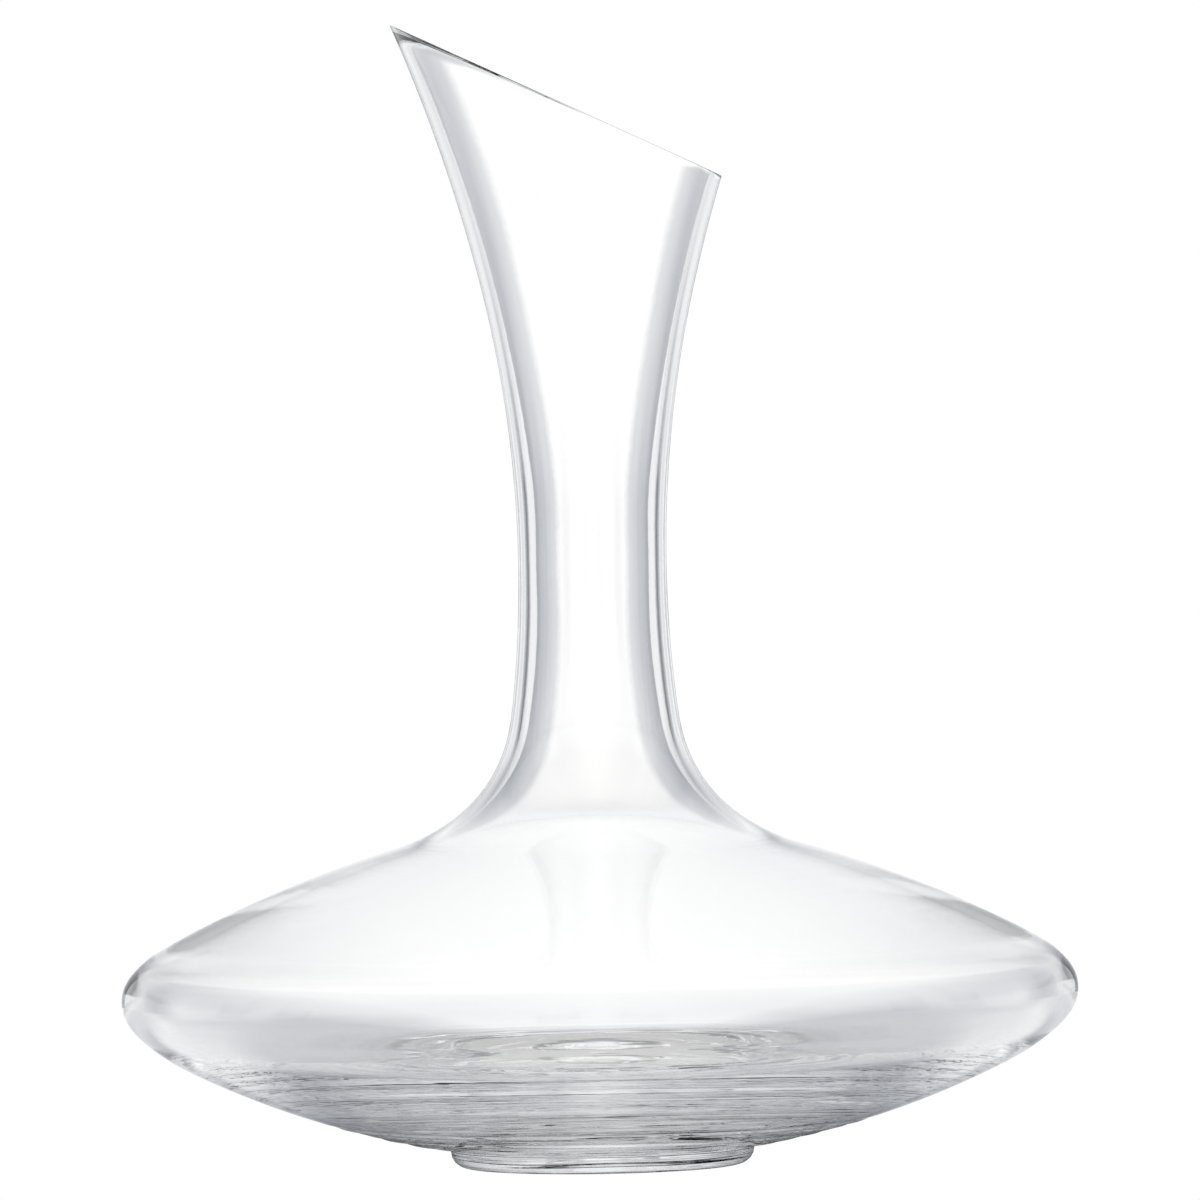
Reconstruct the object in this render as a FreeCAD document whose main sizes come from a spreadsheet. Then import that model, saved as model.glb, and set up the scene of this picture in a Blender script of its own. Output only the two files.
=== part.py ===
"""Wine decanter in clear glass: a squat wide bowl, a waisted neck with a slanted mouth, and a foot.

The glass is three hot-joined pieces of revolution about the vertical Z axis, which meet face to face:
  foot  solid ground disc with a rounded lower edge
  bowl  blown shell with a thick solid floor, from the foot up to the root of the neck
  neck  waisted tube that flares to a mouth cut off at a slant, with its high lip towards -X

Millimetres, +Z up. The origin is the centre of the foot's flat underside, on the axis.
"""
import FreeCAD, Part
import math
import os
import Sketcher
from FreeCAD import Vector

# name of the cell, value in mm or degrees, what it drives
DIMENSIONS = [
    ("footRadius", 34.8, "widest radius of the foot, where it joins the bowl"),
    ("footHeight", 4.2, "height of the seam between foot and bowl"),
    ("footEdgeRadius", 3.7, "rounding of the foot's lower edge"),
    ("seamHeight", 102.6, "height of the seam between bowl and neck"),
    ("seamRadius", 19.3, "outer radius at that seam"),
    ("seamWall", 2.6, "wall at that seam"),
    ("bowlRadius", 110.0, "widest radius of the bowl"),
    ("ringRadius", 9.4, "profile radius of the bowl's widest ring"),
    ("ringLow", 32.6, "height where the widest ring starts"),
    ("ringHigh", 45.5, "height where it ends"),
    ("underside", 205.0, "profile radius of the underside"),
    ("undersideSlope", 9.0, "its slope at the foot in degrees, to start from: the tangents settle it"),
    ("undersideTop", 23.5, "height where it passes into the lower hip, to start from"),
    ("lowerHip", 46.6, "profile radius of the lower hip"),
    ("upperHip", 28.6, "profile radius of the upper hip"),
    ("upperHipTop", 51.4, "height where the upper hip passes into the shoulder"),
    ("shoulder", 289.0, "profile radius of the gently crowned shoulder"),
    ("shoulderTop", 75.2, "height where the shoulder passes into the sweep"),
    ("sweep", 33.0, "hollow radius of the sweep up to the neck"),
    ("ringWall", 2.7, "wall at the widest ring"),
    ("floorHeight", 20.0, "height of the flat inner floor"),
    ("floorRadius", 64.0, "radius of the flat inner floor"),
    ("floorBlend", 74.0, "profile radius of the blend round the floor, to start from"),
    ("floorBlendTop", 26.5, "height where the blend passes into the inner hip, to start from"),
    ("innerHip", 34.0, "profile radius of the inner lower hip"),
    ("innerRingLow", 34.2, "height where the inner ring starts"),
    ("innerRing", 8.0, "profile radius of the inner ring"),
    ("innerRingHigh", 45.5, "height where the inner ring ends"),
    ("innerUpperHip", 26.6, "profile radius of the inner upper hip"),
    ("innerUpperHipTop", 49.9, "height where it passes into the inner shoulder"),
    ("innerShoulder", 321.0, "profile radius of the inner shoulder"),
    ("innerShoulderTop", 72.5, "height where the inner shoulder passes into the inner sweep"),
    ("innerSweep", 35.6, "hollow radius of the inner sweep"),
    ("waistRadius", 17.0, "outer radius at the neck's waist"),
    ("waistHeight", 138.0, "height of the waist"),
    ("neckFlare", 276.0, "hollow radius of the neck above the waist"),
    ("mouthFlare", 384.0, "hollow radius of the mouth"),
    ("mouthFlareLow", 203.0, "height where the mouth's flare starts"),
    ("throatRadius", 14.5, "radius of the straight throat inside the waist"),
    ("throatLow", 132.0, "height where the straight throat starts"),
    ("throatHigh", 144.0, "height where it ends"),
    ("innerNeckFlare", 155.0, "hollow radius inside the neck above the throat"),
    ("innerMouthFlare", 340.0, "hollow radius inside the mouth"),
    ("innerMouthFlareLow", 160.0, "height where the flare inside the mouth starts"),
    ("blankHeight", 270.0, "height of the neck before its mouth is cut"),
    ("rimHeight", 241.3, "height where the plane of the mouth crosses the axis"),
    ("rimSlant", 25.4, "slope of that plane in degrees, falling towards +X"),
    ("cutReach", 60.0, "how far that cut reaches to each side of the axis"),
    ("rimRounding", 0.5, "fire-polished rounding of the rim's two edges"),
]

doc = FreeCAD.newDocument("decanter")
sheet = doc.addObject("Spreadsheet::Sheet", "Dimensions")
for row, (alias, value, meaning) in enumerate(DIMENSIONS, start=1):
    sheet.set("A%d" % row, alias)
    sheet.set("B%d" % row, str(value))
    sheet.set("C%d" % row, meaning)
    sheet.setAlias("B%d" % row, alias)
doc.recompute()


def size(alias):
    """The value that a cell of the sheet holds."""
    return float(sheet.get(alias))


def role_feature(body, role):
    """The origin plane or axis of a body with the given role."""
    return next(item for item in body.Origin.OriginFeatures if item.Role == role)


def new_body(label):
    """An empty body at the origin whose label names the sub-part."""
    body = doc.addObject("PartDesign::Body", label)
    body.Label = label
    body.Placement = FreeCAD.Placement()
    return body


def new_sketch(body, name):
    """A sketch on the body's XZ plane: its x is the radius and its y is the height."""
    sketch = body.newObject("Sketcher::SketchObject", name)
    sketch.AttachmentSupport = [(role_feature(body, "XZ_Plane"), "")]
    sketch.MapMode = "FlatFace"
    return sketch


def revolve(body, sketch, name):
    """Turn a sketch once round its own vertical axis."""
    feature = body.newObject("PartDesign::Revolution", name)
    feature.Profile = sketch
    feature.ReferenceAxis = (sketch, ["V_Axis"])
    feature.Angle = 360.0
    sketch.Visibility = False
    return feature


class Chain:
    """Edges drawn one after another in a sketch, each tied to the one before.

    The pen keeps its place and its heading, and climbs. A curve leaves the last edge on
    its tangent. Sizes are named by the cells that drive them.
    """

    START = 1
    END = 2
    CENTRE = 3

    def __init__(self, sketch, radius, height, heading=0.0):
        self.sketch = sketch
        self.radius = radius
        self.height = height
        self.heading = math.radians(heading)
        self.first = None
        self.last = None

    def hold(self, kind, places, value, expression):
        """Add one dimension and drive it from the sheet."""
        index = self.sketch.addConstraint(Sketcher.Constraint(kind, *places, value))
        self.sketch.setExpression("Constraints[%d]" % index, expression)

    def hold_radius(self, place, expression):
        """Drive how far a point lies from the axis."""
        self.hold("DistanceX", (-1, 1, *place), self.point(*place).x, expression)

    def hold_height(self, place, expression):
        """Drive how high a point lies."""
        self.hold("DistanceY", (-1, 1, *place), self.point(*place).y, expression)

    def point(self, edge, end):
        """Where an end or the centre of an edge lies."""
        geometry = self.sketch.Geometry[edge]
        if end == self.CENTRE:
            return geometry.Center
        return geometry.StartPoint if end == self.START else geometry.EndPoint

    def join(self, edge, start, leave, smooth):
        """Tie a new edge to the last one and move the pen to its far end."""
        if self.last is None:
            self.first = (edge, start)
        else:
            kind = "Tangent" if smooth else "Coincident"
            self.sketch.addConstraint(Sketcher.Constraint(kind, *self.last, edge, start))
        self.last = (edge, leave)
        place = self.point(edge, leave)
        self.radius = place.x
        self.height = place.y
        return edge

    def level_line(self, radius, smooth=False):
        """Draw a level edge out to a radius."""
        start = Vector(self.radius, self.height, 0)
        edge = self.sketch.addGeometry(Part.LineSegment(start, Vector(radius, self.height, 0)), False)
        self.sketch.addConstraint(Sketcher.Constraint("Horizontal", edge))
        self.heading = 0.0
        return self.join(edge, self.START, self.END, smooth)

    def upright_line(self, top, smooth=False):
        """Draw an upright edge to the height in the cell `top`."""
        start = Vector(self.radius, self.height, 0)
        edge = self.sketch.addGeometry(Part.LineSegment(start, Vector(self.radius, size(top), 0)), False)
        self.sketch.addConstraint(Sketcher.Constraint("Vertical", edge))
        self.heading = math.pi / 2
        self.join(edge, self.START, self.END, smooth)
        self.hold_height(self.last, "Dimensions." + top)
        return edge

    def curve(self, bend, top, hollow=False, smooth=True, drive_bend=True, drive_top=True):
        """Draw an arc of the radius in the cell `bend` up to the height in the cell `top`.

        A round arc turns left as the pen climbs, and a hollow one turns right.
        """
        turn = -1.0 if hollow else 1.0
        radius = size(bend)
        centre = Vector(self.radius - turn * radius * math.sin(self.heading),
                        self.height + turn * radius * math.cos(self.heading), 0)
        heading = math.acos(turn * (centre.y - size(top)) / radius)
        sides = sorted(angle - turn * math.pi / 2 for angle in (self.heading, heading))
        circle = Part.Circle(centre, Vector(0, 0, 1), radius)
        edge = self.sketch.addGeometry(Part.ArcOfCircle(circle, *sides), False)
        start, leave = (self.END, self.START) if hollow else (self.START, self.END)
        self.heading = heading
        self.join(edge, start, leave, smooth)
        if drive_bend:
            self.hold("Radius", (edge,), radius, "Dimensions." + bend)
        if drive_top:
            self.hold_height(self.last, "Dimensions." + top)
        return edge

    def taper(self, radius, top):
        """Draw a hollow arc that ends upright at the radius and height in two cells."""
        inward = self.radius - size(radius)
        rise = size(top) - self.height
        bend = (inward ** 2 + rise ** 2) / (2 * inward)
        centre = Vector(size(radius) + bend, size(top), 0)
        half_turn = math.pi
        circle = Part.Circle(centre, Vector(0, 0, 1), bend)
        arc = Part.ArcOfCircle(circle, half_turn, half_turn + math.asin(rise / bend))
        edge = self.sketch.addGeometry(arc, False)
        self.heading = math.pi / 2
        self.join(edge, self.END, self.START, smooth=False)
        self.hold_height((edge, self.CENTRE), "Dimensions." + top)
        self.hold_height(self.last, "Dimensions." + top)
        self.hold_radius(self.last, "Dimensions." + radius)
        return edge


def link(sketch, first, second, chain):
    """Close a gap in an outline with a straight edge between two tied points."""
    edge = sketch.addGeometry(Part.LineSegment(chain.point(*first), chain.point(*second)), False)
    sketch.addConstraint(Sketcher.Constraint("Coincident", edge, Chain.START, *first))
    sketch.addConstraint(Sketcher.Constraint("Coincident", edge, Chain.END, *second))


def build_foot():
    """The foot: a flat-bottomed disc with a rounded lower edge and a level top that the bowl sits on."""
    body = new_body("foot")
    sketch = new_sketch(body, "FootProfile")
    side = Chain(sketch, 0.0, 0.0)
    side.level_line(size("footRadius") - size("footEdgeRadius"))
    ground = side.first
    edge = side.curve("footEdgeRadius", "footEdgeRadius", drive_top=False)
    side.hold_radius((edge, Chain.CENTRE), "Dimensions.footRadius - Dimensions.footEdgeRadius")
    side.upright_line("footHeight", smooth=True)
    top = Chain(sketch, 0.0, size("footHeight"))
    top.level_line(size("footRadius"))
    sketch.addConstraint(Sketcher.Constraint("Coincident", *top.last, *side.last))
    sketch.addConstraint(Sketcher.Constraint("Coincident", *ground, -1, 1))
    sketch.addConstraint(Sketcher.Constraint("PointOnObject", *top.first, -2))
    link(sketch, ground, top.first, side)
    revolve(body, sketch, "FootTurning")
    return body


def build_bowl():
    """The bowl: a blown shell on a thick solid floor, whose shoulder sweeps up to the neck."""
    body = new_body("bowl")
    sketch = new_sketch(body, "BowlProfile")

    outside = Chain(sketch, 0.0, size("footHeight"))
    outside.level_line(size("footRadius"))
    outside.hold_height(outside.last, "Dimensions.footHeight")
    outside.hold_radius(outside.last, "Dimensions.footRadius")
    outside.heading = math.radians(size("undersideSlope"))
    outside.curve("underside", "undersideTop", smooth=False, drive_top=False)
    outside.curve("lowerHip", "ringLow")
    ring = outside.curve("ringRadius", "ringHigh")
    outside.hold_radius((ring, Chain.CENTRE), "Dimensions.bowlRadius - Dimensions.ringRadius")
    outside.curve("upperHip", "upperHipTop")
    outside.curve("shoulder", "shoulderTop")
    outside.curve("sweep", "seamHeight", hollow=True)
    outside.hold_radius(outside.last, "Dimensions.seamRadius")

    inside = Chain(sketch, 0.0, size("floorHeight"))
    inside.level_line(size("floorRadius"))
    inside.hold_height(inside.last, "Dimensions.floorHeight")
    inside.hold_radius(inside.last, "Dimensions.floorRadius")
    inside.curve("floorBlend", "floorBlendTop", drive_bend=False, drive_top=False)
    inside.curve("innerHip", "innerRingLow")
    ring = inside.curve("innerRing", "innerRingHigh")
    inside.hold_radius((ring, Chain.CENTRE),
                       "Dimensions.bowlRadius - Dimensions.ringWall - Dimensions.innerRing")
    inside.curve("innerUpperHip", "innerUpperHipTop")
    inside.curve("innerShoulder", "innerShoulderTop")
    inside.curve("innerSweep", "seamHeight", hollow=True)
    inside.hold_radius(inside.last, "Dimensions.seamRadius - Dimensions.seamWall")

    for chain in (outside, inside):
        sketch.addConstraint(Sketcher.Constraint("PointOnObject", *chain.first, -2))
    link(sketch, outside.first, inside.first, outside)
    link(sketch, outside.last, inside.last, outside)
    revolve(body, sketch, "BowlTurning")
    return body


def build_neck():
    """The neck: a waisted tube with a straight throat, flaring to a mouth cut off at a slant."""
    body = new_body("neck")
    sketch = new_sketch(body, "NeckProfile")

    outside = Chain(sketch, size("seamRadius"), size("seamHeight"))
    outside.taper("waistRadius", "waistHeight")
    outside.curve("neckFlare", "mouthFlareLow", hollow=True)
    outside.curve("mouthFlare", "blankHeight", hollow=True)

    inside = Chain(sketch, size("seamRadius") - size("seamWall"), size("seamHeight"))
    inside.taper("throatRadius", "throatLow")
    inside.upright_line("throatHigh")
    inside.curve("innerNeckFlare", "innerMouthFlareLow", hollow=True)
    inside.curve("innerMouthFlare", "blankHeight", hollow=True)

    seam_radii = ("Dimensions.seamRadius", "Dimensions.seamRadius - Dimensions.seamWall")
    for chain, radius in zip((outside, inside), seam_radii):
        chain.hold_height(chain.first, "Dimensions.seamHeight")
        chain.hold_radius(chain.first, radius)
    link(sketch, outside.first, inside.first, outside)
    link(sketch, outside.last, inside.last, outside)
    revolve(body, sketch, "NeckTurning")
    cut = cut_mouth(body)
    doc.recompute()
    polish_rim(body, cut)
    return body


def cut_mouth(body):
    """Take everything above the slanted plane of the mouth off the neck."""
    sketch = new_sketch(body, "MouthCut")
    reach = size("cutReach")
    fall = reach * math.tan(math.radians(size("rimSlant")))
    corners = [
        Vector(-reach, size("rimHeight") + fall, 0),
        Vector(reach, size("rimHeight") - fall, 0),
        Vector(reach, size("blankHeight") + reach, 0),
        Vector(-reach, size("blankHeight") + reach, 0),
    ]
    edges = [sketch.addGeometry(Part.LineSegment(here, there), False)
             for here, there in zip(corners, corners[1:] + corners[:1])]
    for edge, follower in zip(edges, edges[1:] + edges[:1]):
        sketch.addConstraint(Sketcher.Constraint("Coincident", edge, Chain.END, follower, Chain.START))
    slant, right, top, left = edges
    crossing = sketch.addGeometry(Part.Point(Vector(0, size("rimHeight"), 0)), True)
    for constraint in (
        Sketcher.Constraint("Vertical", right),
        Sketcher.Constraint("Vertical", left),
        Sketcher.Constraint("Horizontal", top),
        Sketcher.Constraint("PointOnObject", crossing, Chain.START, -2),
        Sketcher.Constraint("PointOnObject", crossing, Chain.START, slant),
    ):
        sketch.addConstraint(constraint)
    driven = (
        (("DistanceY", -1, 1, crossing, Chain.START, size("rimHeight")), "Dimensions.rimHeight"),
        (("Angle", slant, -math.radians(size("rimSlant"))), "-Dimensions.rimSlant"),
        (("DistanceX", -1, 1, slant, Chain.START, -reach), "-Dimensions.cutReach"),
        (("DistanceX", -1, 1, slant, Chain.END, reach), "Dimensions.cutReach"),
        (("DistanceY", -1, 1, top, Chain.START, corners[2].y), "Dimensions.blankHeight + Dimensions.cutReach"),
    )
    for arguments, expression in driven:
        index = sketch.addConstraint(Sketcher.Constraint(*arguments))
        sketch.setExpression("Constraints[%d]" % index, expression)
    cut = body.newObject("PartDesign::Pocket", "MouthSlant")
    cut.Profile = sketch
    cut.SideType = "Symmetric"
    cut.setExpression("Length", "2 * Dimensions.cutReach")
    sketch.Visibility = False
    return cut


def polish_rim(body, cut):
    """Round the edges that lie in the plane of the mouth."""
    lean = math.radians(size("rimSlant"))
    normal = Vector(math.sin(lean), 0, math.cos(lean))
    on_plane = Vector(0, 0, size("rimHeight"))
    names = []
    for number, edge in enumerate(cut.Shape.Edges, start=1):
        gaps = [abs((place - on_plane).dot(normal)) for place in edge.discretize(9)]
        if max(gaps) < 1e-4:
            names.append("Edge%d" % number)
    rounding = body.newObject("PartDesign::Fillet", "RimPolish")
    rounding.Base = (cut, names)
    rounding.setExpression("Radius", "Dimensions.rimRounding")
    return rounding


def check(bodies):
    """Stop if any object of the document failed, or any sub-part has no sound solid."""
    for item in doc.Objects:
        if "Invalid" in item.State or "Error" in item.State:
            raise RuntimeError("%s: %s" % (item.Label, item.getStatusString()))
    for body in bodies:
        shape = body.Shape
        if shape.isNull() or not shape.isValid() or len(shape.Solids) != 1:
            raise RuntimeError("%s has no single valid solid" % body.Label)
        print("%s: %.1f ml of glass, %d faces" % (body.Label, shape.Volume / 1000.0, len(shape.Faces)))


pieces = [build_foot(), build_bowl(), build_neck()]
doc.recompute()
check(pieces)
os.makedirs("parts", exist_ok=True)
for piece in pieces:
    piece.Shape.exportStep("parts/%s.step" % piece.Label)
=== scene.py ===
"""A mouth-blown wine decanter in clear glass, on a pale table in a bright studio.

The foot, the bowl and the neck are joined while they are hot, so the glass is one wall with no seams
inside it. Each of the three draws its own stretch of the wall's outline. The glassblower class strings the
stretches together, turns them about the axis, cuts the mouth off at a slant and melts its rim round.
"""

import logging
import math
from dataclasses import dataclass
from enum import Enum

import bpy
from mathutils import Matrix, Vector


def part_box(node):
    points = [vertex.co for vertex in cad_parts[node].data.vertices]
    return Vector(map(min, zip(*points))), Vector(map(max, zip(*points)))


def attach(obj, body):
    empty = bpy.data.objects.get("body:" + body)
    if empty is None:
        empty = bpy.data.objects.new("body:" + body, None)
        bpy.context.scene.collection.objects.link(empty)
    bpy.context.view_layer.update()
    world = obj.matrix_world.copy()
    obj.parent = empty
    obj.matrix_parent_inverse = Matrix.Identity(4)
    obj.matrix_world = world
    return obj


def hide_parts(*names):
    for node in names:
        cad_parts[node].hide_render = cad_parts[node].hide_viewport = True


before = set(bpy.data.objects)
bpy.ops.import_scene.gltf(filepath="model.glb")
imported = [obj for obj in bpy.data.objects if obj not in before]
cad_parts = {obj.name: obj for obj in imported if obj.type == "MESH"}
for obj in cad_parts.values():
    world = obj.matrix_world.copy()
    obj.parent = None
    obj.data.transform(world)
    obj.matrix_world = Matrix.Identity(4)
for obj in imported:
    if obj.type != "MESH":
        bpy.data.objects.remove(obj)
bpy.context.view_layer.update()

MM = 0.001
FULL_TURN = 2 * math.pi
AXIS = (0.0, 0.0, 1.0)
WHITE = (1.0, 1.0, 1.0, 1.0)
HALFWAY = 45.0  # degrees from a quarter of the room to halfway between two
COOLING = (1.12, 1.07, 0.97)  # powers of red, green and blue that make a dark grey a little cooler
LOG = logging.getLogger("decanter")

Point = tuple[float, float]


def node_math(tree: bpy.types.NodeTree, operation: str, value: bpy.types.NodeSocket,
              other: bpy.types.NodeSocket | float | None = None) -> bpy.types.NodeSocket:
    """Work out a number in a node tree from one or two others.

    Args:
        tree: the node tree to add to.
        operation: the name of the operation.
        value: the first number.
        other: the second number, where the operation takes one.

    Returns:
        The result.
    """
    node = tree.nodes.new("ShaderNodeMath")
    node.operation = operation
    tree.links.new(value, node.inputs[0])
    if isinstance(other, float):
        node.inputs[1].default_value = other
    elif other is not None:
        tree.links.new(other, node.inputs[1])
    return node.outputs[0]


class Bend(Enum):
    """Which way an arc of the outline turns as it climbs."""

    ROUND = 1.0
    HOLLOW = -1.0


class Pen:
    """Draws an outline of straight stretches and arcs, as points (radius, height) in millimetres.

    The pen keeps its place and its heading, and climbs from the foot towards the mouth. It draws in steps of
    about FINE millimetres, and marks the points that the mesh keeps.
    """

    FINE = 0.25

    def __init__(self, radius: float, height: float, slope: float) -> None:
        """Put the pen down.

        Args:
            radius: distance from the axis, in mm.
            height: height above the table, in mm.
            slope: heading in degrees, 0 straight out and 90 straight up.
        """
        self.radius = radius
        self.height = height
        self.heading = math.radians(slope)
        self.points: list[Point] = [(radius, height)]
        self.kept: list[int] = [0]

    def line(self, radius: float, height: float, steps: int) -> "Pen":
        """Draw a straight stretch.

        Args:
            radius: radius of its end, in mm.
            height: height of its end, in mm.
            steps: how many pieces of mesh it takes.

        Returns:
            The pen, at the end of the stretch.
        """
        start = Vector((self.radius, self.height))
        stop = Vector((radius, height))
        fine = max(1, round((stop - start).length / steps / self.FINE))
        for step in range(1, steps * fine + 1):
            place = start.lerp(stop, step / (steps * fine))
            self.points.append((place.x, place.y))
            if step % fine == 0:
                self.kept.append(len(self.points) - 1)
        self.radius, self.height = radius, height
        self.heading = math.atan2(stop.y - start.y, stop.x - start.x)
        return self

    def arc(self, bend: float, top: float, steps: int, side: Bend = Bend.ROUND) -> "Pen":
        """Draw an arc on the tangent of the last stretch.

        Args:
            bend: radius of the arc, in mm.
            top: height where it ends, in mm.
            steps: how many pieces of mesh it takes.
            side: which way it turns.

        Returns:
            The pen, at the end of the arc.
        """
        turn = side.value
        centre_radius = self.radius - turn * bend * math.sin(self.heading)
        centre_height = self.height + turn * bend * math.cos(self.heading)
        last = math.acos(max(-1.0, min(1.0, turn * (centre_height - top) / bend)))
        first = self.heading
        fine = max(1, round(bend * abs(last - first) / steps / self.FINE))
        for step in range(1, steps * fine + 1):
            heading = first + (last - first) * step / (steps * fine)
            self.points.append((centre_radius + turn * bend * math.sin(heading),
                                centre_height - turn * bend * math.cos(heading)))
            if step % fine == 0:
                self.kept.append(len(self.points) - 1)
        self.radius, self.height = self.points[-1]
        self.heading = last
        return self

    def follow(self, other: "Pen") -> "Pen":
        """Carry on with what another pen drew from here."""
        start = len(self.points) - 1
        self.points += other.points[1:]
        self.kept += [start + index for index in other.kept[1:]]
        self.radius, self.height, self.heading = other.radius, other.height, other.heading
        return self

    def soften(self, reach: float) -> "Pen":
        """Let the bends flow into each other, as they do in hot glass. The two ends stay.

        Args:
            reach: how far a bend flows, in mm.

        Returns:
            The pen.
        """
        for _ in range(round(2 * (reach / self.FINE) ** 2)):
            inner = [((before[0] + 2 * here[0] + after[0]) / 4, (before[1] + 2 * here[1] + after[1]) / 4)
                     for before, here, after in zip(self.points, self.points[1:], self.points[2:])]
            self.points = [self.points[0]] + inner + [self.points[-1]]
        return self

    def stations(self) -> list[Point]:
        """Return the points that the mesh keeps."""
        return [self.points[index] for index in self.kept]


@dataclass(frozen=True)
class Foot:
    """The low solid foot, ground flat underneath."""

    radius: float
    height: float
    edge: float = 3.7
    line_wave: float = 1.15
    line_depth: float = 0.045
    line_stray: float = 3.0
    flat_steps: int = 12
    edge_steps: int = 26

    def outline(self) -> Pen:
        """Draw the outside of the foot, from the axis out and up to the bowl."""
        pen = Pen(0.0, 0.0, 0.0)
        pen.line(self.radius - self.edge, 0.0, self.flat_steps)
        pen.arc(self.edge, self.edge, self.edge_steps)
        return pen.line(self.radius, self.height, 1)

    def swell(self, height: float, bearing: float) -> float:
        """Find how far the tool's lines stand out of the foot's flank.

        Args:
            height: height above the table, in mm.
            bearing: angle round the axis, in radians.

        Returns:
            How far out the line stands there, in mm.
        """
        fade = math.sin(math.pi * min(1.0, height / self.height)) ** 0.5
        stray = 0.5 * math.sin(2 * bearing + 0.6) + 0.3 * math.sin(5 * bearing)
        shift = stray * self.line_stray
        return self.line_depth * fade * math.sin(FULL_TURN * height / self.line_wave + shift)


@dataclass(frozen=True)
class Bowl:
    """The squat blown bowl on its thick floor. Sizes in mm, arcs named from the foot up.

    The steps are the pieces of mesh in each stretch, in the order in which it is drawn.
    """

    foot_radius: float
    foot_height: float
    seam_height: float
    underside: float = 205.0
    underside_slope: float = 9.025
    underside_top: float = 23.699
    lower_hip: float = 46.6
    ring_low: float = 32.6
    ring: float = 9.4
    ring_high: float = 45.5
    upper_hip: float = 28.6
    upper_hip_top: float = 51.4
    shoulder: float = 289.0
    shoulder_top: float = 75.2
    sweep: float = 33.0
    floor_height: float = 20.0
    floor_radius: float = 64.0
    floor_blend: float = 73.2311
    floor_blend_top: float = 26.7468
    inner_hip: float = 34.0
    inner_ring_low: float = 34.2
    inner_ring: float = 8.0
    inner_ring_high: float = 45.5
    inner_upper_hip: float = 26.6
    inner_upper_hip_top: float = 49.9
    inner_shoulder: float = 321.0
    inner_shoulder_top: float = 72.5
    inner_sweep: float = 35.6
    outer_steps: tuple[int, ...] = (96, 12, 16, 6, 26, 18)
    inner_steps: tuple[int, ...] = (84, 28, 8, 14, 3, 26, 18)

    def outside(self) -> Pen:
        """Draw the outer face, from the foot up to the neck."""
        underside, lower, ring, upper, shoulder, sweep = self.outer_steps
        pen = Pen(self.foot_radius, self.foot_height, self.underside_slope)
        pen.arc(self.underside, self.underside_top, underside)
        pen.arc(self.lower_hip, self.ring_low, lower)
        pen.arc(self.ring, self.ring_high, ring)
        pen.arc(self.upper_hip, self.upper_hip_top, upper)
        pen.arc(self.shoulder, self.shoulder_top, shoulder)
        return pen.arc(self.sweep, self.seam_height, sweep, Bend.HOLLOW)

    def inside(self) -> Pen:
        """Draw the inner face, from the middle of the floor up to the neck."""
        floor, blend, lower, ring, upper, shoulder, sweep = self.inner_steps
        pen = Pen(0.0, self.floor_height, 0.0)
        pen.line(self.floor_radius, self.floor_height, floor)
        pen.arc(self.floor_blend, self.floor_blend_top, blend)
        pen.arc(self.inner_hip, self.inner_ring_low, lower)
        pen.arc(self.inner_ring, self.inner_ring_high, ring)
        pen.arc(self.inner_upper_hip, self.inner_upper_hip_top, upper)
        pen.arc(self.inner_shoulder, self.inner_shoulder_top, shoulder)
        return pen.arc(self.inner_sweep, self.seam_height, sweep, Bend.HOLLOW)


@dataclass(frozen=True)
class Neck:
    """The waisted neck, whose mouth is cut off at a slant. Sizes in mm.

    The steps are the pieces of mesh in each stretch, in the order in which it is drawn.
    """

    seam_height: float
    seam_radius: float
    seam_bore: float
    waist_radius: float = 17.0
    waist_height: float = 138.0
    flare: float = 276.0
    mouth_flare: float = 384.0
    mouth_flare_low: float = 203.0
    throat_radius: float = 14.5
    throat_low: float = 132.0
    throat_high: float = 144.0
    inner_flare: float = 155.0
    inner_flare_top: float = 160.0
    inner_mouth_flare: float = 340.0
    blank_top: float = 270.0
    rim_height: float = 241.3
    rim_slant: float = 25.4
    rim_round: float = 0.3
    outer_steps: tuple[int, ...] = (12, 18, 18)
    inner_steps: tuple[int, ...] = (10, 4, 5, 30)

    @staticmethod
    def taper(radius: float, height: float, end_radius: float, end_height: float) -> tuple[float, float]:
        """Find the hollow arc that ends upright at a point.

        Args:
            radius: radius where the arc starts, in mm.
            height: height where it starts, in mm.
            end_radius: radius where it ends upright, in mm.
            end_height: height where it ends, in mm.

        Returns:
            The arc's radius in mm and its slope at the start in degrees.
        """
        inward = radius - end_radius
        rise = end_height - height
        bend = (inward ** 2 + rise ** 2) / (2 * inward)
        return bend, 90.0 + math.degrees(math.asin(rise / bend))

    def outside(self) -> Pen:
        """Draw the outer face, from the seam up to the blank's top."""
        bend, slope = self.taper(self.seam_radius, self.seam_height, self.waist_radius, self.waist_height)
        pen = Pen(self.seam_radius, self.seam_height, slope)
        waist, flare, mouth = self.outer_steps
        pen.arc(bend, self.waist_height, waist, Bend.HOLLOW)
        pen.arc(self.flare, self.mouth_flare_low, flare, Bend.HOLLOW)
        return pen.arc(self.mouth_flare, self.blank_top, mouth, Bend.HOLLOW)

    def inside(self) -> Pen:
        """Draw the inner face, from the seam up to the blank's top."""
        bend, slope = self.taper(self.seam_bore, self.seam_height, self.throat_radius, self.throat_low)
        pen = Pen(self.seam_bore, self.seam_height, slope)
        waist, throat, flare, mouth = self.inner_steps
        pen.arc(bend, self.throat_low, waist, Bend.HOLLOW)
        pen.line(self.throat_radius, self.throat_high, throat)
        pen.arc(self.inner_flare, self.inner_flare_top, flare, Bend.HOLLOW)
        return pen.arc(self.inner_mouth_flare, self.blank_top, mouth, Bend.HOLLOW)


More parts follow.
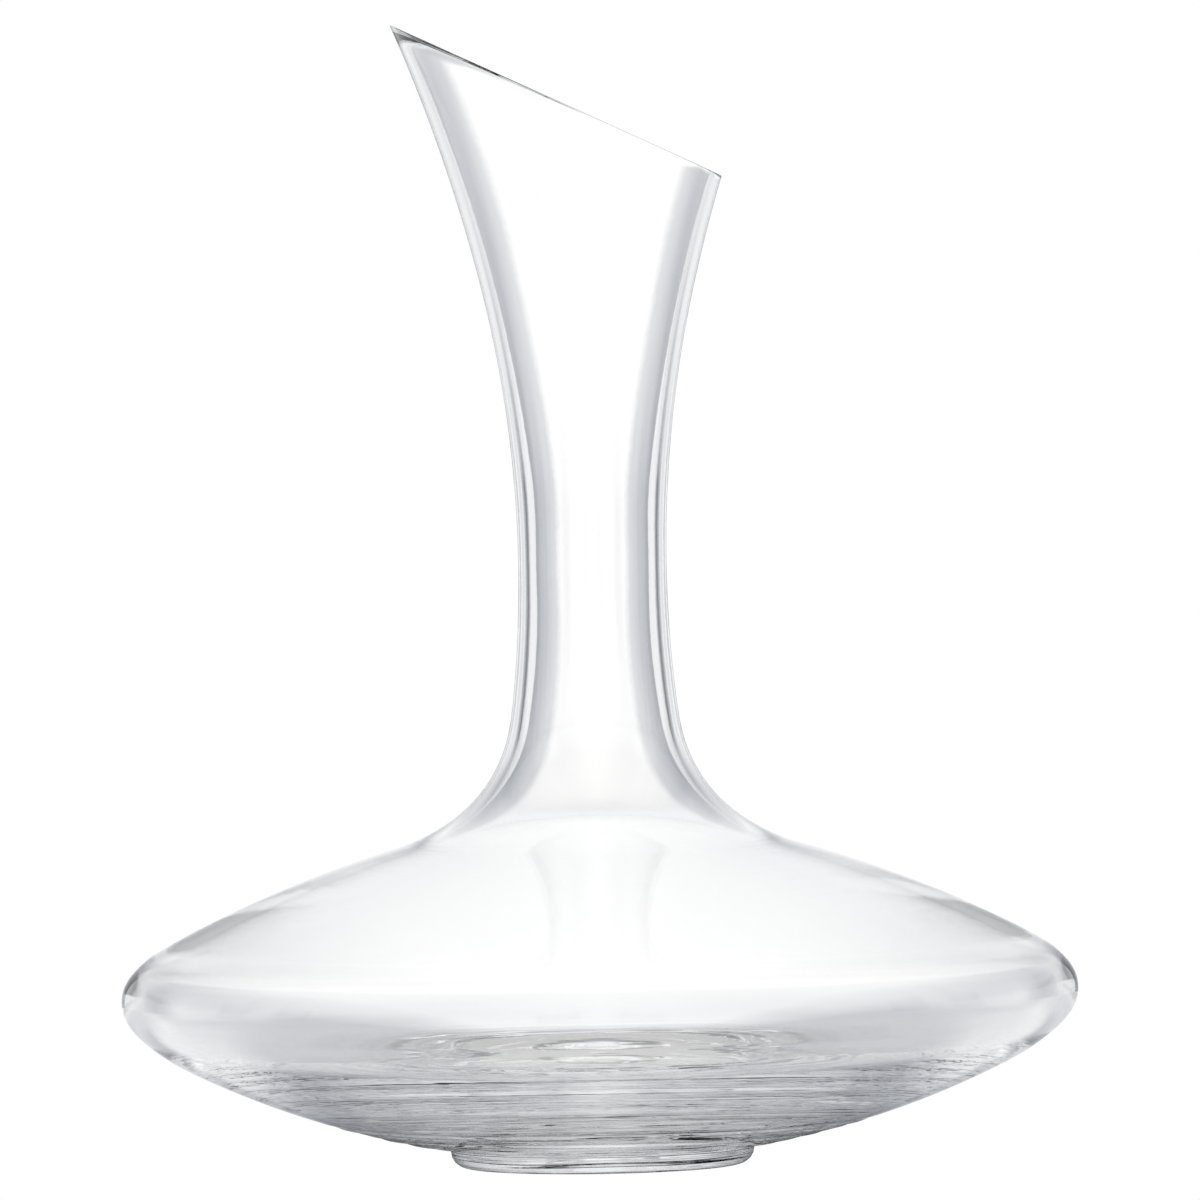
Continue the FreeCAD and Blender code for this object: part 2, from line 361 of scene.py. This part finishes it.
@dataclass(frozen=True)
class Ripple:
    """Ring-shaped waves that the turning glass sets in, strongest in the middle of their band.

    Lengths in mm. The wander is how far a ring strays in or out on its way round, and the overtone is the
    share of it in shorter bends. Patchy is how unevenly deep the wave is, and the winding, in radians per mm,
    carries the deep places round the axis from ring to ring.
    """

    low: float
    high: float
    wave: float
    depth: float
    wander: float = 0.6
    turns: int = 2
    phase: float = 0.0
    patchy: float = 0.5
    overtone: float = 0.4
    overtone_phase: float = 2.1
    winding: float = 0.35

    def lift(self, radius: float, bearing: float) -> float:
        """Find how far the surface is raised.

        Args:
            radius: distance from the axis, in mm.
            bearing: angle round the axis, in radians.

        Returns:
            The height of the wave there, in mm.
        """
        if not self.low < radius < self.high:
            return 0.0
        share = (radius - self.low) / (self.high - self.low)
        swell = math.sin(math.pi * share) ** 0.5
        stray = self.wander * math.sin(self.turns * bearing + self.phase)
        short_bends = math.sin((self.turns + 3) * bearing - self.overtone_phase * self.phase)
        stray += self.overtone * self.wander * short_bends
        patch = 1.0 + self.patchy * math.sin((self.turns + 1) * bearing + self.winding * radius + self.phase)
        return self.depth * patch * swell * math.sin(FULL_TURN * (radius + stray) / self.wave + self.phase)


@dataclass(frozen=True)
class ClearGlass:
    """Clear crystal, smooth and colourless, with the faint rings that turning leaves on it.

    The rings differ a little in colour and in height. Lengths in mm. The streaks are how often the pattern
    changes on its way round the axis.
    """

    name: str
    ring: float
    relief: float
    streaks: float = 5.0
    clear: tuple[float, float, float, float] = WHITE
    cast: tuple[float, float, float, float] = (0.995, 0.997, 1.0, 1.0)
    ior: float = 1.52

    def material(self) -> bpy.types.Material:
        """Return the material."""
        material = bpy.data.materials.new(self.name)
        material.use_nodes = True
        tree = material.node_tree
        shader = tree.nodes["Principled BSDF"]
        shader.inputs["Transmission Weight"].default_value = 1.0
        shader.inputs["Roughness"].default_value = 0.0
        shader.inputs["IOR"].default_value = self.ior
        place = tree.nodes.new("ShaderNodeTexCoord")
        flat = tree.nodes.new("ShaderNodeVectorMath")
        flat.operation = "MULTIPLY"
        flat.inputs[1].default_value = (1.0, 1.0, 0.0)
        tree.links.new(place.outputs["Object"], flat.inputs[0])
        bearing = tree.nodes.new("ShaderNodeVectorMath")
        bearing.operation = "NORMALIZE"
        tree.links.new(flat.outputs["Vector"], bearing.inputs[0])
        round_axis = tree.nodes.new("ShaderNodeVectorMath")
        round_axis.operation = "SCALE"
        round_axis.inputs["Scale"].default_value = self.streaks
        tree.links.new(bearing.outputs["Vector"], round_axis.inputs[0])
        radius = tree.nodes.new("ShaderNodeVectorMath")
        radius.operation = "LENGTH"
        tree.links.new(flat.outputs["Vector"], radius.inputs[0])
        parts = tree.nodes.new("ShaderNodeSeparateXYZ")
        tree.links.new(place.outputs["Object"], parts.inputs[0])
        along = node_math(tree, "ADD", radius.outputs["Value"], parts.outputs["Z"])
        rings = node_math(tree, "DIVIDE", along, self.ring * MM)
        upright = tree.nodes.new("ShaderNodeCombineXYZ")
        tree.links.new(rings, upright.inputs["Z"])
        spot = tree.nodes.new("ShaderNodeVectorMath")
        spot.operation = "ADD"
        tree.links.new(round_axis.outputs["Vector"], spot.inputs[0])
        tree.links.new(upright.outputs["Vector"], spot.inputs[1])
        noise = tree.nodes.new("ShaderNodeTexNoise")
        noise.inputs["Scale"].default_value = 1.0
        noise.inputs["Detail"].default_value = 2.0
        tree.links.new(spot.outputs["Vector"], noise.inputs["Vector"])
        colour = tree.nodes.new("ShaderNodeMixRGB")
        colour.inputs["Color1"].default_value = self.clear
        colour.inputs["Color2"].default_value = self.cast
        tree.links.new(noise.outputs["Fac"], colour.inputs["Fac"])
        tree.links.new(colour.outputs["Color"], shader.inputs["Base Color"])
        bump = tree.nodes.new("ShaderNodeBump")
        bump.inputs["Strength"].default_value = 1.0
        bump.inputs["Distance"].default_value = self.relief * MM
        tree.links.new(noise.outputs["Fac"], bump.inputs["Height"])
        tree.links.new(bump.outputs["Normal"], shader.inputs["Normal"])
        return material


@dataclass
class Decanter:
    """The whole glass, made from its three stretches.

    Lengths in mm. The rings of the mesh slide to the slanted mouth above slide_from, and mouth_from lies above
    the throat, where both faces only widen. The slacks say how near counts as the same place.
    """

    foot: Foot
    bowl: Bowl
    neck: Neck
    segments: int = 200
    slide_from: float = 203.0
    flow: float = 2.2
    tooled_radius: float = 67.0
    tooled_height: float = 21.5
    ripple_top: float = 30.0
    still_radius: float = 1.0
    mouth_from: float = 150.0
    cut_rounds: int = 12
    weld_slack: float = 0.002
    slide_slack: float = 1e-4
    cut_slack: float = 0.02
    rim_slack: float = 0.8
    rim_segments: int = 4
    blown: ClearGlass = ClearGlass("blown_crystal", ring=2.6, relief=0.006)
    tooled: ClearGlass = ClearGlass("tooled_crystal", ring=2.2, relief=0.008, streaks=2.5)
    floor_ripples: tuple[Ripple, ...] = (Ripple(4.0, 64.0, 8.6, 0.260, 0.5, 2),
                                         Ripple(8.0, 62.0, 4.7, 0.070, 0.4, 3, 1.7))
    underside_ripples: tuple[Ripple, ...] = (Ripple(35.5, 66.0, 5.2, 0.130, 0.3, 2, 0.4),
                                             Ripple(36.0, 65.0, 3.3, 0.075, 0.3, 3, 2.3))

    def __post_init__(self) -> None:
        """Draw the two faces of the wall above the foot."""
        self.outer = self.bowl.outside().follow(self.neck.outside()).soften(self.flow).stations()
        self.inner = self.bowl.inside().follow(self.neck.inside()).soften(self.flow).stations()

    def trace(self, outline: list[Point]) -> None:
        """Draw an outline in the XZ plane, by drawing one vertex out of another.

        Args:
            outline: points (radius, height) in mm.
        """
        bpy.ops.mesh.select_all(action="DESELECT")
        bpy.ops.mesh.primitive_plane_add(size=MM, location=(outline[0][0] * MM, 0.0, outline[0][1] * MM))
        bpy.ops.mesh.merge(type="CENTER")
        for here, there in zip(outline, outline[1:]):
            step = ((there[0] - here[0]) * MM, 0.0, (there[1] - here[1]) * MM)
            bpy.ops.mesh.extrude_vertices_move(TRANSFORM_OT_translate={"value": step})

    def turn(self) -> bpy.types.Object:
        """Turn the wall's outline about the axis.

        Returns:
            The glass, still with its level mouth.
        """
        bpy.ops.object.select_all(action="DESELECT")
        bpy.ops.mesh.primitive_plane_add(size=MM)
        glass = bpy.context.object
        glass.name = glass.data.name = "decanter_glass"
        bpy.ops.object.mode_set(mode="EDIT")
        bpy.ops.mesh.select_mode(type="VERT")
        bpy.ops.mesh.select_all(action="SELECT")
        bpy.ops.mesh.delete(type="VERT")
        self.trace(self.foot.outline().stations() + self.outer[1:] + self.inner[::-1])
        bpy.ops.mesh.select_all(action="SELECT")
        bpy.ops.mesh.spin(steps=self.segments, angle=FULL_TURN, center=(0.0, 0.0, 0.0), axis=AXIS)
        bpy.ops.mesh.select_all(action="SELECT")
        bpy.ops.mesh.remove_doubles(threshold=self.weld_slack * MM)
        bpy.ops.object.mode_set(mode="OBJECT")
        return glass

    def mouth_height(self, wall: list[Point], across: float) -> float:
        """Find where the wall meets the plane of the mouth.

        Args:
            wall: the wall's outline, in mm.
            across: cosine of the direction from the axis, 1 towards the low lip.

        Returns:
            The height of the cut in that direction, in mm.
        """
        fall = math.tan(math.radians(self.neck.rim_slant))
        height = self.neck.rim_height
        for _ in range(self.cut_rounds):
            height = self.neck.rim_height - fall * across * self.radius_at(wall, height)
        return height

    @staticmethod
    def radius_at(wall: list[Point], height: float) -> float:
        """Return the radius of an outline at a height, in mm."""
        for (low_r, low_z), (high_r, high_z) in zip(wall, wall[1:]):
            if low_z <= height <= high_z:
                return low_r + (high_r - low_r) * (height - low_z) / (high_z - low_z)
        return wall[-1][0] if height > wall[-1][1] else wall[0][0]

    def set_ripples(self, glass: bpy.types.Object) -> None:
        """Raise the rings of the thick floor, inside and underneath, and the lines on the foot's flank.

        Args:
            glass: the glass as it was turned.
        """
        for vertex in glass.data.vertices:
            radius = math.hypot(vertex.co.x, vertex.co.y) / MM
            height = vertex.co.z / MM
            bearing = math.atan2(vertex.co.y, vertex.co.x)
            if height >= self.ripple_top or radius < self.still_radius:
                continue
            if height <= self.foot.height and radius > self.foot.radius - self.foot.edge:
                spread = 1.0 + self.foot.swell(height, bearing) / radius
                vertex.co.x *= spread
                vertex.co.y *= spread
                continue
            below = height < 0.5 * (self.radius_height(self.outer, radius) + self.bowl.floor_height)
            waves = self.underside_ripples if below else self.floor_ripples
            vertex.co.z += MM * sum(wave.lift(radius, bearing) for wave in waves)

    @staticmethod
    def radius_height(wall: list[Point], radius: float) -> float:
        """Return the height of an outline at a radius, in mm, on its lowest stretch."""
        for (low_r, low_z), (high_r, high_z) in zip(wall, wall[1:]):
            if low_r <= radius <= high_r:
                return low_z + (high_z - low_z) * (radius - low_r) / (high_r - low_r)
        return 0.0

    def slant_mouth(self, glass: bpy.types.Object) -> None:
        """Slide the upper neck's rings along the wall until the last one lies in the slanted plane.

        Args:
            glass: the glass with its level mouth.
        """
        outside = [point for point in self.outer if point[1] > self.mouth_from]
        inside = [point for point in self.inner if point[1] > self.mouth_from]
        low = self.slide_from
        blank = self.neck.blank_top - low
        for vertex in glass.data.vertices:
            height = vertex.co.z / MM
            if height <= low + self.slide_slack:
                continue
            radius = math.hypot(vertex.co.x, vertex.co.y)
            across = vertex.co.x / radius
            middle = (self.radius_at(outside, height) + self.radius_at(inside, height)) / 2
            wall = outside if radius / MM > middle else inside
            share = (height - low) / blank
            slid = low + share * (self.mouth_height(wall, across) - low)
            scale = self.radius_at(wall, slid) * MM / radius
            vertex.co = (vertex.co.x * scale, vertex.co.y * scale, slid * MM)

    def melt_rim(self, glass: bpy.types.Object) -> None:
        """Melt the two corners of the cut rim round.

        Args:
            glass: the glass with its slanted mouth.
        """
        bpy.ops.object.select_all(action="DESELECT")
        glass.select_set(True)
        bpy.context.view_layer.objects.active = glass
        bpy.ops.object.mode_set(mode="EDIT")
        bpy.ops.mesh.select_mode(type="EDGE")
        bpy.ops.mesh.select_all(action="SELECT")
        bpy.ops.mesh.normals_make_consistent(inside=False)
        bpy.ops.mesh.select_all(action="DESELECT")
        bpy.ops.object.mode_set(mode="OBJECT")
        lean = math.radians(self.neck.rim_slant)
        normal = Vector((math.sin(lean), 0.0, math.cos(lean)))
        centre = Vector((0.0, 0.0, self.neck.rim_height * MM))
        for edge in glass.data.edges:
            ends = [glass.data.vertices[index].co for index in edge.vertices]
            in_plane = all(abs((end - centre).dot(normal)) < self.cut_slack * MM for end in ends)
            widening = math.hypot(ends[0].x, ends[0].y) - math.hypot(ends[1].x, ends[1].y)
            along = abs(widening) < self.rim_slack * MM
            edge.select = in_plane and along
        bpy.ops.object.mode_set(mode="EDIT")
        bpy.ops.mesh.bevel(offset=self.neck.rim_round * MM, segments=self.rim_segments, affect="EDGES")
        bpy.ops.object.mode_set(mode="OBJECT")

    def finish(self, glass: bpy.types.Object) -> None:
        """Give the blown walls and the tooled floor and foot their finishes.

        Args:
            glass: the glass in its final shape.
        """
        glass.data.materials.clear()
        glass.data.materials.append(self.blown.material())
        glass.data.materials.append(self.tooled.material())
        for face in glass.data.polygons:
            radius = math.hypot(face.center.x, face.center.y)
            if radius < self.tooled_radius * MM and face.center.z < self.tooled_height * MM:
                face.material_index = 1

    def build(self) -> bpy.types.Object:
        """Blow the decanter.

        Returns:
            The finished glass.
        """
        glass = self.turn()
        self.set_ripples(glass)
        self.slant_mouth(glass)
        self.melt_rim(glass)
        self.finish(glass)
        bpy.ops.object.shade_smooth()
        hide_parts("foot", "bowl", "neck")
        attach(glass, "root")
        return glass


@dataclass(frozen=True)
class Band:
    """The light of the surroundings at one height above the horizon.

    The stops pair an angle from the nearest quarter of the room, in degrees, with a brightness.
    """

    elevation: float
    stops: tuple[tuple[float, float], ...]


NEAR_HORIZON = ((0, 1.1), (3.8, 1.05), (5, 0.74), (8, 0.58), (13, 0.4), (15, 0.37), (15.7, 0.93),
                (33, 0.95), (38, 0.5), (45, 0.08))


@dataclass(frozen=True)
class Studio:
    """The table, the light from all round and the camera. Lengths in metres, angles in degrees.

    The light lies in bands, one above the other, and each band repeats every quarter turn. The table glows with
    painted
    shadow and light: one ring of tones towards the quarters and a darker one towards the corners between them.
    """

    table_radius: float = 0.6
    distance: float = 3.4
    aim: tuple[float, float, float] = (0.0016, 0.0, 0.1297)
    elevation: float = 1.75
    roll: float = 1.01
    frame_width: float = 0.2752
    bands: tuple[Band, ...] = (
        Band(-12.0, ((0, 1.08), (14, 1.08), (26, 0.8), (45, 0.8))),
        Band(-6.0, NEAR_HORIZON),
        Band(5.0, NEAR_HORIZON),
        Band(14.0, ((0, 1.05), (3, 0.95), (6, 0.5), (8, 0.85), (11, 1.0), (15, 0.8), (25, 0.65), (33, 0.5),
                    (45, 0.5))),
        Band(30.0, ((0, 0.9), (8, 0.75), (15, 0.75), (20, 0.72), (28, 0.5), (40, 0.35), (45, 0.38))),
        Band(90.0, ((0, 0.75), (45, 0.75))),
    )
    # Painted shadow of the glass and painted light on the table, towards the quarters: brightness by distance
    # from the axis in m, black under the glass and above white further out.
    painted_shadow_and_light: tuple[tuple[float, float], ...] = (
        (0.0, 0.0), (0.05, 0.0), (0.065, 0.1), (0.075, 0.3), (0.085, 0.6), (0.1, 0.92), (0.2, 1.0), (0.35, 1.04),
        (0.6, 1.08))
    # The same painted shadow and light, dimmer, towards the corners between the quarters.
    corner_painted_shadow_and_light: tuple[tuple[float, float], ...] = (
        (0.0, 0.0), (0.05, 0.0), (0.07, 0.1), (0.1, 0.45), (0.2, 0.72), (0.6, 0.8))
    corner_from: float = 14.0
    corner_to: float = 26.0
    table_sides: int = 128
    table_drop: float = 0.0002
    sensor_width: float = 36.0
    sight: float = 100.0
    bounces: int = 40

    @staticmethod
    def ramp(tree: bpy.types.NodeTree, value: bpy.types.NodeSocket, stops: tuple[tuple[float, float], ...],
             span: float) -> bpy.types.NodeSocket:
        """Turn a number into a grey that is a little cooler the darker it is.

        Args:
            tree: the node tree to add to.
            value: the number, from 0 to 1.
            stops: pairs of place and brightness.
            span: the place that stands for 1.

        Returns:
            The grey.
        """
        ramp = tree.nodes.new("ShaderNodeValToRGB")
        tree.links.new(value, ramp.inputs[0])
        elements = ramp.color_ramp.elements
        while len(elements) < len(stops):
            elements.new(0.5)
        for element, (place, light) in zip(elements, stops):
            element.position = place / span
            element.color = (*(light ** power for power in COOLING), 1.0)
        return ramp.outputs["Color"]

    @staticmethod
    def quarter_share(tree: bpy.types.NodeTree, place: bpy.types.NodeSocket) -> bpy.types.NodeSocket:
        """Work out how far a direction lies from the nearest quarter of the room.

        Args:
            tree: the node tree to add to.
            place: the direction or place.

        Returns:
            A number from 0 straight at a quarter to 1 halfway between two.
        """
        parts = tree.nodes.new("ShaderNodeSeparateXYZ")
        tree.links.new(place, parts.inputs[0])
        eighth = FULL_TURN / 8
        bearing = node_math(tree, "ARCTAN2", parts.outputs["X"], parts.outputs["Y"])
        return node_math(tree, "DIVIDE", node_math(tree, "PINGPONG", bearing, eighth), eighth)

    def table(self) -> bpy.types.Object:
        """Return the pale round table top: plain white to the camera, and to other rays a glow with painted
        shadow under the glass and painted light further out.
        """
        bpy.ops.object.select_all(action="DESELECT")
        bpy.ops.mesh.primitive_circle_add(vertices=self.table_sides, radius=self.table_radius,
                                          fill_type="NGON", location=(0.0, 0.0, -self.table_drop))
        table = bpy.context.object
        table.name = "table_top"
        material = bpy.data.materials.new("white_table_painted_shadow_and_light")
        material.use_nodes = True
        tree = material.node_tree
        tree.nodes.clear()
        place = tree.nodes.new("ShaderNodeTexCoord")
        length = tree.nodes.new("ShaderNodeVectorMath")
        length.operation = "LENGTH"
        tree.links.new(place.outputs["Object"], length.inputs[0])
        share = node_math(tree, "DIVIDE", length.outputs["Value"], self.table_radius)
        corner = tree.nodes.new("ShaderNodeMapRange")
        corner.inputs["From Min"].default_value = self.corner_from / HALFWAY
        corner.inputs["From Max"].default_value = self.corner_to / HALFWAY
        tree.links.new(self.quarter_share(tree, place.outputs["Object"]), corner.inputs["Value"])
        blend = tree.nodes.new("ShaderNodeMixRGB")
        tree.links.new(corner.outputs["Result"], blend.inputs["Fac"])
        tree.links.new(self.ramp(tree, share, self.painted_shadow_and_light, self.table_radius), blend.inputs["Color1"])
        tree.links.new(self.ramp(tree, share, self.corner_painted_shadow_and_light, self.table_radius), blend.inputs["Color2"])
        # Painted shadow and light: the table glows with them to every ray but the camera's, which sees plain
        # white.
        painted_shadow_and_light = tree.nodes.new("ShaderNodeEmission")
        tree.links.new(blend.outputs["Color"], painted_shadow_and_light.inputs["Color"])
        plain = tree.nodes.new("ShaderNodeEmission")
        plain.inputs["Color"].default_value = WHITE
        path = tree.nodes.new("ShaderNodeLightPath")
        mix = tree.nodes.new("ShaderNodeMixShader")
        tree.links.new(path.outputs["Is Camera Ray"], mix.inputs[0])
        tree.links.new(painted_shadow_and_light.outputs[0], mix.inputs[1])
        tree.links.new(plain.outputs[0], mix.inputs[2])
        output = tree.nodes.new("ShaderNodeOutputMaterial")
        tree.links.new(mix.outputs[0], output.inputs["Surface"])
        table.data.materials.append(material)
        return table

    def surroundings(self) -> bpy.types.World:
        """Return the world: bands of light by height, and pure white to the camera."""
        world = bpy.data.worlds.new("studio")
        bpy.context.scene.world = world
        world.use_nodes = True
        tree = world.node_tree
        tree.nodes.clear()
        place = tree.nodes.new("ShaderNodeTexCoord")
        parts = tree.nodes.new("ShaderNodeSeparateXYZ")
        tree.links.new(place.outputs["Generated"], parts.inputs[0])
        share = self.quarter_share(tree, place.outputs["Generated"])
        climb = node_math(tree, "ARCSINE", parts.outputs["Z"])
        light = self.ramp(tree, share, self.bands[0].stops, HALFWAY)
        for lower, upper in zip(self.bands, self.bands[1:]):
            blend = tree.nodes.new("ShaderNodeMapRange")
            blend.inputs["From Min"].default_value = math.radians(lower.elevation)
            blend.inputs["From Max"].default_value = math.radians(upper.elevation)
            tree.links.new(climb, blend.inputs["Value"])
            mix = tree.nodes.new("ShaderNodeMixRGB")
            tree.links.new(blend.outputs["Result"], mix.inputs["Fac"])
            tree.links.new(light, mix.inputs["Color1"])
            tree.links.new(self.ramp(tree, share, upper.stops, HALFWAY), mix.inputs["Color2"])
            light = mix.outputs["Color"]
        seen = tree.nodes.new("ShaderNodeBackground")
        tree.links.new(light, seen.inputs["Color"])
        plain = tree.nodes.new("ShaderNodeBackground")
        plain.inputs["Color"].default_value = WHITE
        path = tree.nodes.new("ShaderNodeLightPath")
        mix = tree.nodes.new("ShaderNodeMixShader")
        tree.links.new(path.outputs["Is Camera Ray"], mix.inputs[0])
        tree.links.new(seen.outputs[0], mix.inputs[1])
        tree.links.new(plain.outputs[0], mix.inputs[2])
        output = tree.nodes.new("ShaderNodeOutputWorld")
        tree.links.new(mix.outputs[0], output.inputs["Surface"])
        return world

    def camera(self) -> bpy.types.Object:
        """Return the long-lens camera, about level with the mouth and aimed at the middle of the glass."""
        lens = bpy.data.cameras.new("camera")
        camera = bpy.data.objects.new("camera", lens)
        bpy.context.scene.collection.objects.link(camera)
        lift = math.radians(self.elevation)
        back = Vector((0.0, -math.cos(lift), math.sin(lift)))
        camera.location = Vector(self.aim) + back * self.distance
        look = (-back).to_track_quat("-Z", "Y").to_matrix()
        camera.rotation_euler = (look @ Matrix.Rotation(math.radians(-self.roll), 3, "Z")).to_euler()
        lens.sensor_width = self.sensor_width
        lens.lens = lens.sensor_width * self.distance / self.frame_width
        lens.clip_end = self.sight
        bpy.context.scene.camera = camera
        return camera

    def light_paths(self) -> None:
        """Let light pass through every wall of the glass, with plain sRGB tones."""
        cycles = bpy.context.scene.cycles
        cycles.max_bounces = self.bounces
        cycles.transmission_bounces = self.bounces
        cycles.glossy_bounces = self.bounces
        bpy.context.scene.view_settings.view_transform = "Standard"


def main() -> None:
    """Build the decanter and its studio in order, and report each piece."""
    logging.basicConfig(level=logging.INFO)
    foot_low, foot_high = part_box("foot")
    bowl_low, bowl_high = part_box("bowl")
    foot = Foot(radius=foot_high.x / MM, height=foot_high.z / MM)
    bowl = Bowl(foot_radius=foot.radius, foot_height=foot.height, seam_height=bowl_high.z / MM)
    neck = Neck(seam_height=bowl.seam_height, seam_radius=bowl.outside().radius,
                seam_bore=bowl.inside().radius)
    LOG.info("foot: %.1f mm across, %.1f mm high", 2 * foot.radius, foot.height)
    LOG.info("bowl: from %.1f to %.1f mm high", bowl.foot_height, bowl.seam_height)
    LOG.info("neck: from %.1f mm up to a mouth at %.1f mm", neck.seam_height, neck.rim_height)
    studio = Studio()
    studio.camera()
    decanter = Decanter(foot, bowl, neck).build()
    LOG.info("%s: %d faces", decanter.name, len(decanter.data.polygons))
    studio.table()
    studio.surroundings()
    studio.light_paths()


if __name__ == "__main__":
    main()
